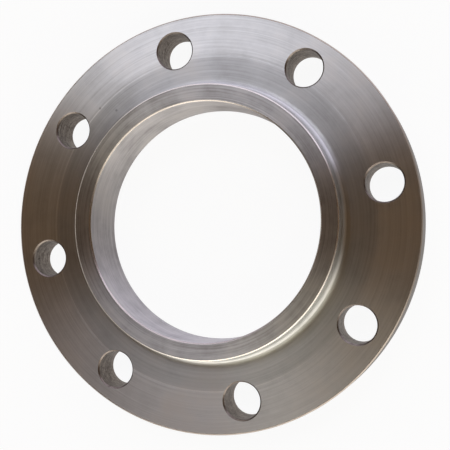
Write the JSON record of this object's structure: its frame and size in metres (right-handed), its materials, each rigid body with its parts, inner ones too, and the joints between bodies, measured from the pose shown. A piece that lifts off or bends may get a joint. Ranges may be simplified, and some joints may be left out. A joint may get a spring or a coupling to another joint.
{
  "type": "slip on flange",
  "caption": "Round steel slip-on pipe flange with a low filleted hub, a plain bore, a raised joint face and a ring of bolt holes.",
  "frame": {"origin": "centre of the raised face, which the flange lies on", "axes": "+Z along the bore from the raised face to the hub's end; the bolt holes straddle the X and Y axes"},
  "size_m": [0.254, 0.254, 0.0366],
  "materials": {
    "turned_steel": "fine-turned carbon steel, bare, with concentric tool marks"
  },
  "bodies": {
    "root": {"flange": "turned_steel"}
  },
  "joints": []
}
